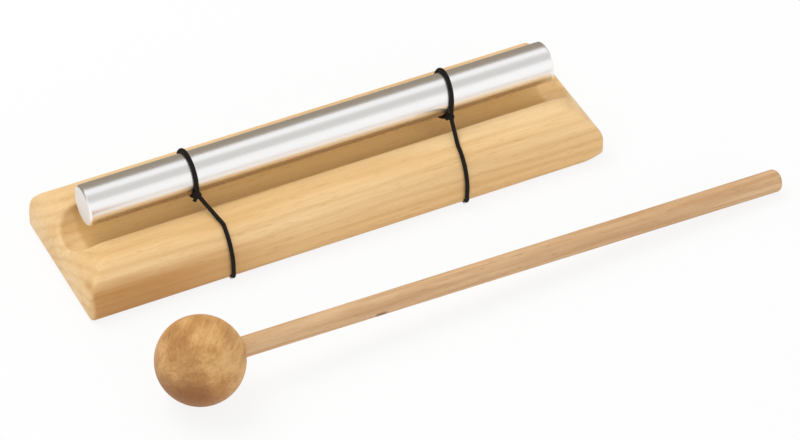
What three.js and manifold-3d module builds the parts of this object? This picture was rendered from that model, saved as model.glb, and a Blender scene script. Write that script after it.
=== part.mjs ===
// A chime bar: a polished aluminium rod hung in two elastic cords over a grooved hardwood base,
// with the wooden ball mallet that lies in front of it.
// Millimetres, +Z up, +X along the rod, +Y to the back; the origin is the middle of the underside.
import * as THREE from "three";
import { mergeVertices } from "three/addons/utils/BufferGeometryUtils.js";
import Module from "manifold-3d";

const wasm = await Module();
wasm.setup();

// Driving dimensions
const clearance = 0.3; // between pieces that touch
const overrun = 1; // how far a cutting solid stands out of what it cuts

const base = {
  length: 170,
  width: 50.4,
  height: 16,
  topRound: 12, // quarter round along all four top edges
  footRound: 2.5, // eased edge along the underside
  cornerRound: 5, // upright corners, seen from above
};
const groove = {
  radius: 9.4, // round-nosed cutter
  depth: 8,
  endInset: 8.8, // from the base's end to the cutter's last place
};
const rod = {
  diameter: 12.7,
  length: 152.4,
  gap: 0.4, // from the base's top up to the rod's underside
  chamfer: 0.5,
  shift: 0.2, // off the base's middle, towards +X
};
const nodeShare = 0.224; // a free bar is still at this share of its length from each end
const cord = { diameter: 1.3 };
const kerf = { width: 2, depth: 1.9 }; // slot under the base that takes the cord, from the front to its hole
const hole = { diameter: 2.4, wall: 1.5 }; // upright behind the groove, and the wood left between them at the top

// Each cord's places along X count outwards from the rod's still point, towards the rod's end.
const leftCord = {
  ringFront: -0.2, // the ring at the knot in front
  ringTop: 0.9,
  ringBack: 1.4,
  shoulder: -3.0,
  foot: -2.1,
  knotDegrees: 200, // round the rod from the back, over the top
  knotStandoff: 0.5, // beyond the ring
  tailOutward: 1.3, // the cut end past the knot
  tailDrop: 1.9,
};
const rightCord = {
  ringFront: -0.9,
  ringTop: -0.6,
  ringBack: -1.5,
  shoulder: -3.4,
  foot: -5.2,
  knotDegrees: 212,
  knotStandoff: 2,
  tailOutward: -1.6,
  tailDrop: 0.4,
};
const cords = [
  { name: "cord_left", side: -1, ...leftCord },
  { name: "cord_right", side: 1, ...rightCord },
];
const knot = { width: 2.4, thickness: 2.1, tailLength: 2.4 };
const mallet = {
  headDiameter: 26.4,
  flat: 0.6, // turned flat round the bore's mouth
  boreDepth: 17,
  neckDiameter: 6.2, // of the stick at the head
  handDiameter: 7, // of the stick at the hand end
  handRound: 1.6,
  reach: 193, // from the ball's centre to the hand end
  headX: -67.8,
  headGap: 27.3, // from the base's front to the ball's nearest point
  yawDegrees: 1.7,
};

// Facets
const arcSteps = 8;
const roundSides = 48;
const cordSides = 8;
const knotSides = 12;
const weld = 1e-4; // vertices nearer than this are one

// Places worked out from the sizes
const ringRadius = rod.diameter / 2 + clearance + cord.diameter / 2;
const rodAxisHeight = base.height + rod.gap + rod.diameter / 2;
const stillPoint = rod.length * (0.5 - nodeShare);
const cordOffset = cord.diameter / 2 + clearance; // cord's centre line above the surface it lies on
const cutterHeight = base.height - groove.depth + groove.radius;
const grooveHalfWidth = Math.sqrt(groove.radius ** 2 - (cutterHeight - base.height) ** 2);
const holeY = grooveHalfWidth + hole.wall + hole.diameter / 2;

const wood = new THREE.MeshStandardMaterial({ name: "oiled hardwood", color: 0xe3b984, roughness: 0.55 });
const turnedWood = new THREE.MeshStandardMaterial({ name: "turned wood", color: 0xc99a62, roughness: 0.6 });
const stickWood = new THREE.MeshStandardMaterial({ name: "stick wood", color: 0xdab07d, roughness: 0.6 });
const aluminium = new THREE.MeshStandardMaterial({
  name: "polished aluminium",
  color: 0xe6e6e8,
  roughness: 0.16,
  metalness: 1,
});
const elastic = new THREE.MeshStandardMaterial({ name: "black elastic", color: 0x17130f, roughness: 0.8 });

// A three.js geometry as a manifold-3d solid.
function toSolid(geometry) {
  const plain = geometry.clone();
  plain.deleteAttribute("normal");
  plain.deleteAttribute("uv");
  const merged = mergeVertices(plain, weld);
  return new wasm.Manifold(
    new wasm.Mesh({
      numProp: 3,
      vertProperties: new Float32Array(merged.attributes.position.array),
      triVerts: new Uint32Array(merged.index.array),
    }),
  );
}

// A manifold-3d solid as a three.js geometry.
function toGeometry(solid) {
  const { vertProperties, triVerts } = solid.getMesh();
  const geometry = new THREE.BufferGeometry();
  geometry.setAttribute("position", new THREE.BufferAttribute(vertProperties, 3));
  geometry.setIndex(new THREE.BufferAttribute(triVerts, 1));
  geometry.computeVertexNormals();
  return geometry;
}

function addMesh(parent, name, geometry, material) {
  const mesh = new THREE.Mesh(geometry, material);
  mesh.name = name;
  parent.add(mesh);
  return mesh;
}

// The base's section: eased feet, upright sides and a quarter round up to the flat top.
function roundedSection(width, height, footRound, topRound) {
  const half = width / 2;
  const shape = new THREE.Shape();
  shape.moveTo(half - footRound, 0);
  shape.absarc(half - footRound, footRound, footRound, -Math.PI / 2, 0, false);
  shape.absarc(half - topRound, height - topRound, topRound, 0, Math.PI / 2, false);
  shape.absarc(-half + topRound, height - topRound, topRound, Math.PI / 2, Math.PI, false);
  shape.absarc(-half + footRound, footRound, footRound, Math.PI, Math.PI * 1.5, false);
  shape.closePath();
  return shape;
}

// The base's plan: a rectangle with rounded corners.
function roundedPlan(length, width, round) {
  const [x, y] = [length / 2 - round, width / 2 - round];
  const shape = new THREE.Shape();
  shape.absarc(x, y, round, 0, Math.PI / 2, false);
  shape.absarc(-x, y, round, Math.PI / 2, Math.PI, false);
  shape.absarc(-x, -y, round, Math.PI, Math.PI * 1.5, false);
  shape.absarc(x, -y, round, Math.PI * 1.5, Math.PI * 2, false);
  shape.closePath();
  return shape;
}

function prism(shape, depth) {
  const geometry = new THREE.ExtrudeGeometry(shape, { depth, bevelEnabled: false, curveSegments: arcSteps });
  return geometry.translate(0, 0, -depth / 2);
}

// Three crossed prisms leave the mitred corners that a router bit makes on a block's top edges.
function baseBlock() {
  const { length, width, height, footRound, topRound, cornerRound } = base;
  const across = prism(roundedSection(width, height, footRound, topRound), length);
  across.applyMatrix4(new THREE.Matrix4().makeBasis(axisY, axisZ, axisX));
  const along = prism(roundedSection(length, height, footRound, topRound), width);
  along.applyMatrix4(new THREE.Matrix4().makeBasis(axisX, axisZ, axisMinusY));
  const plan = prism(roundedPlan(length, width, cornerRound), height).translate(0, 0, height / 2);
  let block = toSolid(across).intersect(toSolid(along)).intersect(toSolid(plan));
  block = block.subtract(toSolid(grooveCutter()));
  for (const { side, foot } of cords) {
    const x = outwardX(side, foot);
    const cut = new THREE.BoxGeometry(kerf.width, width / 2 + overrun + holeY, kerf.depth + overrun);
    cut.translate(x, (holeY - width / 2 - overrun) / 2, (kerf.depth - overrun) / 2);
    const drill = new THREE.CylinderGeometry(hole.diameter / 2, hole.diameter / 2, height + 2 * overrun, roundSides / 2);
    drill.rotateX(Math.PI / 2).translate(x, holeY, height / 2);
    block = block.subtract(toSolid(cut)).subtract(toSolid(drill));
  }
  return toGeometry(block);
}

// The space that a round-nosed cutter sweeps along the base.
function grooveCutter() {
  const travel = base.length - 2 * groove.endInset;
  const profile = new THREE.Path();
  profile.absarc(0, -travel / 2, groove.radius, -Math.PI / 2, 0, false);
  profile.absarc(0, travel / 2, groove.radius, 0, Math.PI / 2, false);
  const cutter = new THREE.LatheGeometry(onAxis(profile.getPoints(arcSteps)), roundSides);
  return cutter.rotateZ(-Math.PI / 2).translate(0, 0, cutterHeight);
}

// A lathe profile whose first and last points lie exactly on the axis.
function onAxis(points) {
  for (const point of [points[0], points[points.length - 1]]) point.x = 0;
  return points;
}

function chimeRod() {
  const { diameter, length, chamfer } = rod;
  const profile = [
    new THREE.Vector2(0, -length / 2),
    new THREE.Vector2(diameter / 2 - chamfer, -length / 2),
    new THREE.Vector2(diameter / 2, -length / 2 + chamfer),
    new THREE.Vector2(diameter / 2, length / 2 - chamfer),
    new THREE.Vector2(diameter / 2 - chamfer, length / 2),
    new THREE.Vector2(0, length / 2),
  ];
  return new THREE.LatheGeometry(profile, roundSides).rotateZ(-Math.PI / 2);
}

// A route through given points, each of them a ring of the tube that follows it.
class Route extends THREE.Curve {
  constructor(points, closed = false) {
    super();
    this.points = closed ? [...points, points[0]] : points;
    this.closed = closed;
  }
  getPoint(t, target = new THREE.Vector3()) {
    return target.copy(this.points[Math.round(t * (this.points.length - 1))]);
  }
  getPointAt(t, target) {
    return this.getPoint(t, target);
  }
  getTangentAt(t, target = new THREE.Vector3()) {
    const last = this.points.length - 1;
    const index = Math.round(t * last);
    const before = this.closed && index === 0 ? last - 1 : Math.max(index - 1, 0);
    const after = this.closed && index === last ? 1 : Math.min(index + 1, last);
    const into = this.points[index].clone().sub(this.points[before]).normalize();
    const out = this.points[after].clone().sub(this.points[index]).normalize();
    return target.copy(into).add(out).normalize();
  }
}

function openTube(points, radius) {
  const section = new THREE.Shape();
  section.absarc(0, 0, radius, 0, Math.PI * 2, false);
  return new THREE.ExtrudeGeometry(section, {
    extrudePath: new Route(points),
    steps: points.length - 1,
    curveSegments: cordSides / 2,
    bevelEnabled: false,
  });
}

function closedTube(points, radius) {
  return new THREE.TubeGeometry(new Route(points, true), points.length, radius, cordSides, true);
}

// Points of an arc in the YZ plane, angles in radians from +Y towards +Z, both ends included.
function arc(y, z, radius, from, to, steps) {
  return Array.from({ length: steps + 1 }, (_, i) => {
    const angle = from + ((to - from) * i) / steps;
    return { y: y + radius * Math.cos(angle), z: z + radius * Math.sin(angle) };
  });
}

// Where the cord's two strands meet beside the rod, in front for side -1 and behind for side 1.
function knotPlace({ knotDegrees, knotStandoff }, side) {
  const angle = THREE.MathUtils.degToRad(knotDegrees);
  const reach = ringRadius + knotStandoff;
  return { y: -side * reach * Math.cos(angle), z: rodAxisHeight + reach * Math.sin(angle) };
}

// The angle at which a taut strand from a knot meets a circle in the YZ plane.
function tautAngle(knotAt, y, z, radius) {
  const [dy, dz] = [knotAt.y - y, knotAt.z - z];
  return Math.atan2(dz, dy) - Math.acos(radius / Math.hypot(dy, dz));
}

// X of a place that lies outwards of the rod's still point.
const outwardX = (side, outward) => side * (stillPoint + outward) + rod.shift;

// The ring round the rod: a circle drawn out to a point at each knot.
function ringRoute(one) {
  const front = knotPlace(one, -1);
  const reach = ringRadius + one.knotStandoff;
  const spread = Math.acos(ringRadius / reach);
  const knotAngle = THREE.MathUtils.degToRad(one.knotDegrees);
  const mirrored = Math.PI - knotAngle;
  const over = arc(0, rodAxisHeight, ringRadius, mirrored + spread, knotAngle - spread, 2 * arcSteps);
  const under = arc(0, rodAxisHeight, ringRadius, knotAngle + spread, 3 * Math.PI - knotAngle - spread, arcSteps);
  const back = knotPlace(one, 1);
  const [frontX, topX, backX] = [one.ringFront, one.ringTop, one.ringBack].map((out) => outwardX(one.side, out));
  const place = ({ y, z }, middleX) => {
    const share = (y - front.y) / (back.y - front.y);
    const bulge = 4 * share * (1 - share);
    const straight = THREE.MathUtils.lerp(frontX, backX, share);
    return new THREE.Vector3(straight + bulge * (middleX - (frontX + backX) / 2), y, z);
  };
  return [
    ...over.map((point) => place(point, topX)),
    place(front, topX),
    ...under.map((point) => place(point, (frontX + backX) / 2)),
    place(back, topX),
  ];
}

// The long run: from the front knot over the base, under it in the kerf and up the hole to the back knot.
function slingRoute(one) {
  const side = base.width / 2 + cordOffset;
  const flat = base.height + cordOffset;
  const round = base.topRound + cordOffset;
  const turn = cord.diameter;
  const under = kerf.depth - cordOffset;
  const footDrop = base.footRound - kerf.depth;
  const kerfMouth = base.width / 2 - base.footRound + Math.sqrt(base.footRound ** 2 - footDrop ** 2);
  const knotAt = knotPlace(one, 1);
  const shoulderTop = tautAngle(knotAt, side - round, flat - round, round);
  const holeTop = tautAngle(knotAt, holeY - turn, flat - turn, turn);
  const place = (way, { y, z }, outward) => new THREE.Vector3(outwardX(one.side, outward), way * y, z);
  const front = [
    place(-1, knotAt, one.ringFront),
    ...arc(side - round, flat - round, round, shoulderTop, 0, arcSteps).map((point, i) =>
      place(-1, point, THREE.MathUtils.lerp(one.shoulder, one.foot, i / arcSteps)),
    ),
    ...arc(kerfMouth, kerf.depth, cordOffset, 0, -Math.PI / 2, arcSteps / 2).map((point) => place(-1, point, one.foot)),
  ];
  const back = [
    ...arc(holeY - turn, under + turn, turn, -Math.PI / 2, 0, arcSteps / 2),
    ...arc(holeY - turn, flat - turn, turn, 0, holeTop, arcSteps / 2),
    knotAt,
  ].map((point, i) => {
    const share = i <= arcSteps / 2 ? 0 : (holeY - point.y) / (holeY - knotAt.y);
    return place(1, point, THREE.MathUtils.lerp(one.foot, one.ringBack, share));
  });
  return [...front, new THREE.Vector3(outwardX(one.side, one.foot), 0, under), ...back];
}

// A knot as a rounded lump round the place where the strands meet.
function knotLump(place, x) {
  const lump = new THREE.SphereGeometry(1, knotSides, cordSides);
  return lump.scale(knot.width / 2, knot.thickness / 2, knot.width / 2).translate(x, place.y, place.z);
}

function cordLoop(one) {
  const radius = cord.diameter / 2;
  const [front, back] = [knotPlace(one, -1), knotPlace(one, 1)];
  const frontX = outwardX(one.side, one.ringFront);
  const backX = outwardX(one.side, one.ringBack);
  const start = new THREE.Vector3(frontX, front.y, front.z);
  const lean = new THREE.Vector3(one.side * one.tailOutward, 0, -one.tailDrop).setLength(knot.tailLength);
  return toGeometry(
    toSolid(closedTube(ringRoute(one), radius))
      .add(toSolid(openTube(slingRoute(one), radius)))
      .add(toSolid(knotLump(front, frontX)))
      .add(toSolid(knotLump(back, backX)))
      .add(toSolid(openTube([start, start.clone().add(lean)], radius))),
  );
}

function malletHead() {
  const radius = mallet.headDiameter / 2;
  const boreRadius = mallet.neckDiameter / 2 + clearance;
  const mouth = Math.sqrt(radius ** 2 - (boreRadius + mallet.flat) ** 2);
  const profile = new THREE.Path();
  const mouthAngle = Math.atan2(mouth, boreRadius + mallet.flat);
  profile.absarc(0, 0, radius, -Math.PI / 2, mouthAngle, false);
  profile.lineTo(boreRadius, mouth);
  profile.lineTo(boreRadius, mouth - mallet.boreDepth);
  profile.lineTo(0, mouth - mallet.boreDepth);
  const points = onAxis(profile.getPoints(2 * arcSteps));
  return { geometry: new THREE.LatheGeometry(points, roundSides).rotateZ(-Math.PI / 2), mouth };
}

function malletStick(mouth) {
  const { neckDiameter, handDiameter, handRound, reach, boreDepth } = mallet;
  const profile = new THREE.Path();
  profile.moveTo(0, mouth - boreDepth + clearance);
  profile.lineTo(neckDiameter / 2, mouth - boreDepth + clearance);
  profile.lineTo(neckDiameter / 2, mouth);
  profile.absarc(handDiameter / 2 - handRound, reach - handRound, handRound, 0, Math.PI / 2, false);
  profile.lineTo(0, reach);
  return new THREE.LatheGeometry(onAxis(profile.getPoints(arcSteps)), roundSides / 2).rotateZ(-Math.PI / 2);
}

const axisX = new THREE.Vector3(1, 0, 0);
const axisY = new THREE.Vector3(0, 1, 0);
const axisMinusY = new THREE.Vector3(0, -1, 0);
const axisZ = new THREE.Vector3(0, 0, 1);

const chime = new THREE.Group();
addMesh(chime, "base_block", baseBlock(), wood);
addMesh(chime, "chime_rod", chimeRod(), aluminium).position.set(rod.shift, 0, rodAxisHeight);
for (const one of cords) addMesh(chime, one.name, cordLoop(one), elastic);

// The mallet lies on its ball and on the underside of its hand end.
const head = malletHead();
const handDrop = (mallet.headDiameter - mallet.handDiameter) / 2;
const malletGroup = new THREE.Group();
malletGroup.position.set(
  mallet.headX,
  -base.width / 2 - mallet.headGap - mallet.headDiameter / 2,
  mallet.headDiameter / 2,
);
malletGroup.rotation.order = "ZYX";
malletGroup.rotation.z = THREE.MathUtils.degToRad(mallet.yawDegrees);
malletGroup.rotation.y = Math.asin(handDrop / (mallet.reach - mallet.handRound));
addMesh(malletGroup, "mallet_head", head.geometry, turnedWood);
addMesh(malletGroup, "mallet_stick", malletStick(head.mouth), stickWood);
chime.add(malletGroup);

export default chime;
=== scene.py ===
"""A chime bar and its ball mallet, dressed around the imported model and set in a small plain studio.

Sizes and places in the classes are millimetres in the model's own frame: +X along the rod,
+Y to the back, +Z up. Meshes are made in metres.
"""
import enum
import functools
import logging
import math
from collections.abc import Callable, Sequence
from dataclasses import dataclass, field

import bpy
import numpy as np
from mathutils import Matrix, Vector


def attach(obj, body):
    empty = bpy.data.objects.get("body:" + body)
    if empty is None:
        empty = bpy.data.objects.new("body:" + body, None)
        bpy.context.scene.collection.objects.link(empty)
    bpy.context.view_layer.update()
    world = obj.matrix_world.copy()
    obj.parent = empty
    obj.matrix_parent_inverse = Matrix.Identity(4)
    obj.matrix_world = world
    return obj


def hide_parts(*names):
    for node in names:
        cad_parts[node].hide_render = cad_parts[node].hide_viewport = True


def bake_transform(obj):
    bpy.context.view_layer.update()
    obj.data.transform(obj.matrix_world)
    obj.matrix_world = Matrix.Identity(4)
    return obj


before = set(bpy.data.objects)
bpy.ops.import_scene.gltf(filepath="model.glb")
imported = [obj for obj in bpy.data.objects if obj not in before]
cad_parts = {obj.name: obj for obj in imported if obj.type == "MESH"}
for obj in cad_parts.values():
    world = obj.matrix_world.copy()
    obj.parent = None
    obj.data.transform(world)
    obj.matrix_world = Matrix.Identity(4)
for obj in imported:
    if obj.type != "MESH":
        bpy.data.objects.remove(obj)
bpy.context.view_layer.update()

log = logging.getLogger("chime")

MM = 0.001

Colour = tuple[float, float, float, float]
Point = tuple[float, float, float]
Field = Callable[[np.ndarray], np.ndarray]
Faces = list[tuple[int, ...]]


def srgb(red: float, green: float, blue: float) -> Colour:
    """Turns a colour as seen on screen, 0 to 255, into the linear colour that a shader takes.

    Args:
        red: the red channel.
        green: the green channel.
        blue: the blue channel.

    Returns:
        Linear red, green, blue and an alpha of 1.
    """
    linear = [((c / 255 + 0.055) / 1.055) ** 2.4 if c > 10 else c / 255 / 12.92 for c in (red, green, blue)]
    return (*linear, 1.0)


class Signal:
    """A number that varies over a surface: one output socket, with arithmetic that adds Math nodes."""

    def __init__(self, graph: "Graph", socket: bpy.types.NodeSocket) -> None:
        """Wraps a socket.

        Args:
            graph: the node tree that the socket is in.
            socket: the output socket.
        """
        self.graph = graph
        self.socket = socket

    def _math(self, operation: str, first: "Signal | float", second: "Signal | float") -> "Signal":
        """Adds one Math node.

        Args:
            operation: the node's operation.
            first: the first operand.
            second: the second operand.

        Returns:
            The result.
        """
        return self.graph.node("ShaderNodeMath", {"operation": operation}, {0: first, 1: second})

    def __add__(self, other: "Signal | float") -> "Signal":
        """Self plus other."""
        return self._math("ADD", self, other)

    def __radd__(self, other: float) -> "Signal":
        """Other plus self."""
        return self._math("ADD", other, self)

    def __sub__(self, other: "Signal | float") -> "Signal":
        """Self minus other."""
        return self._math("SUBTRACT", self, other)

    def __rsub__(self, other: float) -> "Signal":
        """Other minus self."""
        return self._math("SUBTRACT", other, self)

    def __mul__(self, other: "Signal | float") -> "Signal":
        """Self times other."""
        return self._math("MULTIPLY", self, other)

    def __rmul__(self, other: float) -> "Signal":
        """Other times self."""
        return self._math("MULTIPLY", other, self)

    def __pow__(self, other: "Signal | float") -> "Signal":
        """Self raised to other."""
        return self._math("POWER", self, other)

    def __rpow__(self, other: float) -> "Signal":
        """Other raised to self."""
        return self._math("POWER", other, self)

    def sine(self) -> "Signal":
        """The sine of self, in radians."""
        return self._math("SINE", self, 0.0)

    def rise(self, low: float, high: float) -> "Signal":
        """Goes smoothly from 0 to 1 as self goes from low to high, which may be the smaller.

        Args:
            low: where the result is 0.
            high: where the result is 1.

        Returns:
            The smooth step.
        """
        sockets = {"Value": self, "From Min": low, "From Max": high, "To Min": 0.0, "To Max": 1.0}
        return self.graph.node("ShaderNodeMapRange", {"interpolation_type": "SMOOTHSTEP"}, sockets)


class Graph:
    """A node tree that is built by calls."""

    def __init__(self, tree: bpy.types.NodeTree) -> None:
        """Empties a node tree and keeps it.

        Args:
            tree: the node tree of a material or world.
        """
        self.tree = tree
        self.tree.nodes.clear()

    def node(
        self,
        kind: str,
        settings: dict[str, object] | None = None,
        sockets: dict[str | int, object] | None = None,
        output: str | int = 0,
    ) -> Signal:
        """Makes one node.

        Args:
            kind: the node's type.
            settings: its own settings, which are set first.
            sockets: values or signals for its input sockets, by name or number.
            output: the output socket that is wanted, by name or number.

        Returns:
            That output socket, or the first where the node has none.
        """
        made = self.tree.nodes.new(kind)
        for key, value in (settings or {}).items():
            setattr(made, key, value)
        for key, value in (sockets or {}).items():
            if isinstance(value, Signal):
                self.tree.links.new(value.socket, made.inputs[key])
            else:
                made.inputs[key].default_value = value
        return Signal(self, made.outputs[output] if made.outputs else None)

    def place(self) -> Signal:
        """Coordinates in metres that stay with the piece."""
        return self.node("ShaderNodeTexCoord", output="Object")

    def mapped(self, place: Signal, scale: Point, offset: Point = (0, 0, 0)) -> Signal:
        """Scales and then shifts coordinates.

        Args:
            place: the coordinates.
            scale: what each axis is multiplied by.
            offset: what is added after that.

        Returns:
            The new coordinates.
        """
        return self.node("ShaderNodeMapping", sockets={"Vector": place, "Scale": scale, "Location": offset})

    def turned(self, place: Signal, way: Point) -> Signal:
        """Turns coordinates so that a given direction becomes X.

        Args:
            place: the coordinates.
            way: the direction.

        Returns:
            The new coordinates.
        """
        turn = Vector(way).to_track_quat("X", "Z").inverted().to_euler()
        return self.node("ShaderNodeMapping", sockets={"Vector": place, "Rotation": tuple(turn)})

    def noise(
        self,
        place: Signal,
        grain: Point,
        seed: float,
        detail: float = 2.0,
        rough: float = 0.5,
    ) -> Signal:
        """Smooth noise from 0 to 1.

        Args:
            place: coordinates in metres.
            grain: size of its patches along each axis, in millimetres.
            seed: shifts the pattern.
            detail: how many finer layers lie over the first.
            rough: how strong those layers are.

        Returns:
            The noise.
        """
        scaled = self.mapped(place, tuple(1 / (g * MM) for g in grain), (seed, seed * 1.7, seed * 2.3))
        sockets = {"Vector": scaled, "Scale": 1.0, "Detail": detail, "Roughness": rough}
        return self.node("ShaderNodeTexNoise", sockets=sockets)

    def mix(self, share: Signal | float, first: Signal | Colour, second: Signal | Colour) -> Signal:
        """Blends two colours.

        Args:
            share: how much of the second there is.
            first: the colour at a share of 0.
            second: the colour at a share of 1.

        Returns:
            The blended colour.
        """
        return self.node("ShaderNodeMix", {"data_type": "RGBA"}, {0: share, 6: first, 7: second}, 2)

    def axes(self, place: Signal) -> tuple[Signal, Signal, Signal]:
        """Coordinates in metres as three numbers in millimetres.

        Args:
            place: the coordinates.

        Returns:
            X, Y and Z.
        """
        scaled = self.mapped(place, (1 / MM,) * 3)
        apart = self.node("ShaderNodeSeparateXYZ", sockets={0: scaled})
        return tuple(Signal(self, socket) for socket in apart.socket.node.outputs)

    def bump(self, height: Signal, millimetres: float, strength: float = 1.0) -> Signal:
        """A normal bent by a small relief.

        Args:
            height: the relief from 0 to 1.
            millimetres: how deep it is.
            strength: how much of it shows.

        Returns:
            The normal.
        """
        sockets = {"Strength": strength, "Distance": millimetres * MM, "Height": height}
        return self.node("ShaderNodeBump", sockets=sockets)

    def surface(self, **sockets: object) -> None:
        """Ends a material with its Principled shader.

        Args:
            sockets: values or signals for its inputs, with _ for each space in a name.
        """
        named = {name.replace("_", " "): value for name, value in sockets.items()}
        shader = self.node("ShaderNodeBsdfPrincipled", sockets=named)
        self.node("ShaderNodeOutputMaterial", sockets={"Surface": shader})


def new_material(name: str) -> tuple[bpy.types.Material, Graph]:
    """Makes an empty material.

    Args:
        name: its name.

    Returns:
        The material and its node tree.
    """
    material = bpy.data.materials.new(name)
    material.use_nodes = True
    return material, Graph(material.node_tree)


@dataclass(frozen=True)
class Tint:
    """A part of the wood given another colour, for the wood's own patches and for painted shade: a box whose
    sides fade inwards over the soft lengths.

    Where it is ragged, its lower and upper sides wander by that many millimetres.
    """

    colour: Colour
    low: Point
    high: Point
    soft_low: Point
    soft_high: Point
    ragged: float = 0.0
    strength: float = 1.0
    wander_size: Point = (26, 3, 3)
    wander_seed: float = 31

    def mask(self, graph: Graph, place: Signal) -> Signal:
        """Where the tint is.

        Args:
            graph: the material's node tree.
            place: coordinates in metres.

        Returns:
            The strength inside the box and 0 outside it.
        """
        x, y, z = graph.axes(place)
        if self.ragged:
            wander = graph.noise(place, self.wander_size, self.wander_seed, 3)
            z = z + wander * (2 * self.ragged) - self.ragged
        share = self.strength
        sides = zip((x, y, z), self.low, self.soft_low, self.high, self.soft_high)
        for value, low, soft_low, high, soft_high in sides:
            share = value.rise(low, low + soft_low) * value.rise(high, high - soft_high) * share
        return share


@dataclass(frozen=True)
class WoodFinish:
    """Oiled or bare wood.

    The grain is the way of its fibres in the piece's own axes. Sizes of patches are millimetres
    along and across the fibres, and a range is where a noise turns into a mask from 0 to 1.
    """

    name: str
    pale: Colour
    warm: Colour
    deep: Colour
    pore: Colour
    heart: tuple[float, float]
    ring_spacing: float = 3.4
    ring_share: float = 0.3
    fibre_share: float = 0.4
    pore_share: float = 0.36
    band_size: Point = (150, 15, 15)
    seed: float = 0.0
    roughness: float = 0.5
    coat: float = 0.0
    coat_roughness: float = 0.3
    grain: Point = (1, 0, 0)
    tints_and_painted_shade: tuple[Tint, ...] = ()
    warm_range: tuple[float, float] = (0.32, 0.68)
    fibre_size: Point = (34, 0.75, 0.75)
    fibre_range: tuple[float, float] = (0.38, 0.78)
    pore_size: Point = (4.6, 0.3, 0.3)
    pore_range: tuple[float, float] = (0.6, 0.74)
    worn_size: Point = (22, 9, 9)
    worn_share: float = 0.22
    pore_dullness: float = 0.12
    tint_floor: float = 0.62
    tint_fibres: float = 0.5
    wander_size: Point = (85, 16, 16)
    wander_reach: float = 7.5
    late_wood: float = 2.2
    relief_depth: float = 0.045
    relief_strength: float = 0.5

    def material(self) -> bpy.types.Material:
        """Builds the finish.

        Returns:
            The material.
        """
        material, graph = new_material(self.name)
        own = graph.place()
        place = graph.turned(own, self.grain)
        bands = graph.noise(place, self.band_size, self.seed + 1, 3, 0.55)
        rings = self._rings(graph, place)
        fibres = graph.noise(place, self.fibre_size, self.seed + 5, 4, 0.62)
        dashes = graph.noise(place, self.pore_size, self.seed + 9)
        pores = dashes.rise(*self.pore_range)
        ground = graph.mix(bands.rise(*self.warm_range), self.pale, self.warm)
        lines = rings * self.ring_share + fibres.rise(*self.fibre_range) * self.fibre_share
        colour = graph.mix(lines * (0.5 + bands), ground, self.deep)
        # the tints hold the wood's own patches and also painted shade, such as the base's groove
        for tint in self.tints_and_painted_shade:
            share = tint.mask(graph, own) * (self.tint_floor + fibres * self.tint_fibres)
            colour = graph.mix(share, colour, tint.colour)
        colour = graph.mix(pores * self.pore_share, colour, self.pore)
        worn = graph.noise(place, self.worn_size, self.seed + 13, 3)
        relief = fibres * 0.5 + rings * 0.25 - pores * 0.8
        graph.surface(
            Base_Color=colour,
            Roughness=self.roughness + (worn - 0.5) * self.worn_share + pores * self.pore_dullness,
            Coat_Weight=self.coat,
            Coat_Roughness=self.coat_roughness,
            Normal=graph.bump(relief, self.relief_depth, self.relief_strength),
        )
        return material

    def _rings(self, graph: Graph, place: Signal) -> Signal:
        """Growth rings round the tree's heart, which lies along X.

        Args:
            graph: the material's node tree.
            place: coordinates in metres.

        Returns:
            1 in the dark late wood and 0 in the early wood.
        """
        y, z = self.heart
        from_heart = graph.mapped(place, (0, 1 / MM, 1 / MM), (0, -y, -z))
        radius = graph.node("ShaderNodeVectorMath", {"operation": "LENGTH"}, {0: from_heart}, 1)
        wander = graph.noise(place, self.wander_size, self.seed + 21) * self.wander_reach
        turn = (radius + wander) * (math.tau / self.ring_spacing)
        return (turn.sine() * 0.5 + 0.5) ** self.late_wood


@dataclass(frozen=True)
class MetalFinish:
    """Drawn and polished aluminium whose fine lines run along the piece's own X, with sawn ends."""

    name: str
    colour: Colour
    roughness: float
    end_place: float
    end_roughness: float = 0.55
    end_edges: tuple[float, float] = (0.03, 0.01)
    line_size: Point = (55, 0.16, 0.16)
    line_shade: float = 0.93
    line_roughness: float = 0.07
    line_depth: float = 0.004
    line_strength: float = 0.35
    handled_size: Point = (14, 7, 7)
    handled_roughness: float = 0.06

    def material(self) -> bpy.types.Material:
        """Builds the finish.

        Returns:
            The material.
        """
        material, graph = new_material(self.name)
        place = graph.place()
        lines = graph.noise(place, self.line_size, 2, 3, 0.6)
        handled = graph.noise(place, self.handled_size, 6, 3)
        duller = (*(channel * self.line_shade for channel in self.colour[:3]), 1.0)
        shade = graph.mix(lines.rise(0.3, 0.75) * 0.5, self.colour, duller)
        x, _, _ = graph.axes(place)
        sawn = (x * x).rise(*((self.end_place - edge) ** 2 for edge in self.end_edges))
        spread = (lines - 0.5) * self.line_roughness
        polished = self.roughness + spread + (handled - 0.5) * self.handled_roughness
        graph.surface(
            Base_Color=shade,
            Metallic=1.0,
            Roughness=polished * (1 - sawn) + sawn * self.end_roughness,
            Normal=graph.bump(lines, self.line_depth, self.line_strength),
        )
        return material


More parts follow.
